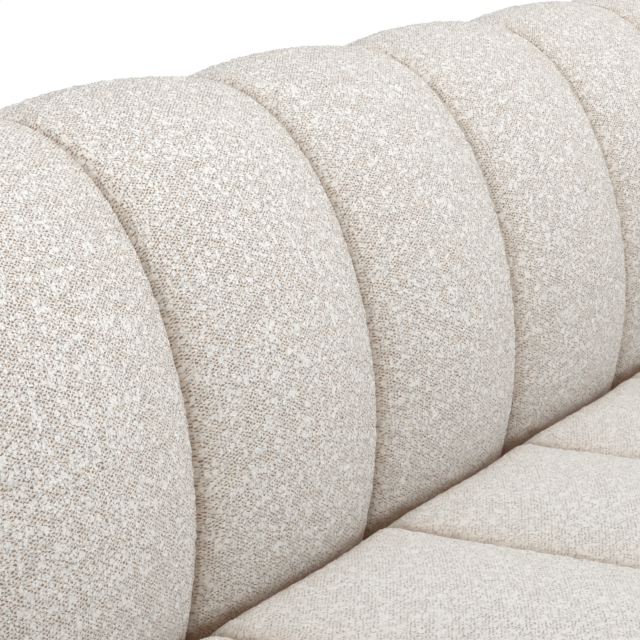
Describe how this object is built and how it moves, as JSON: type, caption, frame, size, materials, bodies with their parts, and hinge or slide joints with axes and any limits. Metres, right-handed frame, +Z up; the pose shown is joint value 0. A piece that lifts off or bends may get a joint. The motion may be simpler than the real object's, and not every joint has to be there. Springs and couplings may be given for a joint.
{
  "type": "tuxedo sofa",
  "caption": "Upholstered sofa with arms as high as the back, fat vertical channels rolled over the top, a tight channelled seat and a recessed plinth.",
  "frame": {"origin": "middle of the sofa's outline on the floor", "axes": "+X along the sofa towards its right-hand arm as seen from the front, +Y towards the back, +Z up; a sitter faces -Y"},
  "size_m": [2.3758, 0.94, 0.6865],
  "materials": {
    "boucle": "off-white looped wool-look cloth",
    "foam": "cut upholstery foam",
    "timber": "planed beech, unfinished",
    "plywood": "sanded birch plywood",
    "belting": "woven elastic belt",
    "lining": "black non-woven cloth",
    "plinth": "dark stained wood, satin lacquer",
    "glide": "moulded nylon"
  },
  "bodies": {
    "root": {"arm_board_left": "plywood", "arm_board_right": "plywood", "arm_channel_left_1": "boucle", "arm_channel_left_2": "boucle", "arm_channel_left_3": "boucle", "arm_channel_right_1": "boucle", "arm_channel_right_2": "boucle", "arm_channel_right_3": "boucle", "arm_facing_left": "boucle", "arm_facing_right": "boucle", "arm_foam_left": "foam", "arm_foam_right": "foam", "arm_ribs_left": "plywood", "arm_ribs_right": "plywood", "arm_top_rail_left": "timber", "arm_top_rail_right": "timber", "back_channel_1": "boucle", "back_channel_2": "boucle", "back_channel_3": "boucle", "back_channel_4": "boucle", "back_channel_5": "boucle", "back_channel_6": "boucle", "back_channel_7": "boucle", "back_channel_8": "boucle", "back_foam": "foam", "back_rail": "timber", "back_ribs": "plywood", "back_top_rail": "timber", "back_webbing": "belting", "corner_blocks": "plywood", "corner_channel_left_1": "boucle", "corner_channel_left_2": "boucle", "corner_channel_right_1": "boucle", "corner_channel_right_2": "boucle", "corner_foam_left": "foam", "corner_foam_right": "foam", "corner_rails": "timber", "corner_ribs": "plywood", "corner_top_rails": "timber", "cross_rails": "timber", "dust_cover": "lining", "front_rail": "timber", "glides": "glide", "plinth_boards": "plinth", "seat_back_rail": "timber", "seat_channel_1": "boucle", "seat_channel_2": "boucle", "seat_channel_3": "boucle", "seat_channel_4": "boucle", "seat_channel_5": "boucle", "seat_channel_6": "boucle", "seat_channel_7": "boucle", "seat_channel_8": "boucle", "seat_foam": "foam", "seat_side_rail_left": "timber", "seat_side_rail_right": "timber", "seat_webbing": "belting", "side_rail_left": "timber", "side_rail_right": "timber"}
  },
  "joints": []
}
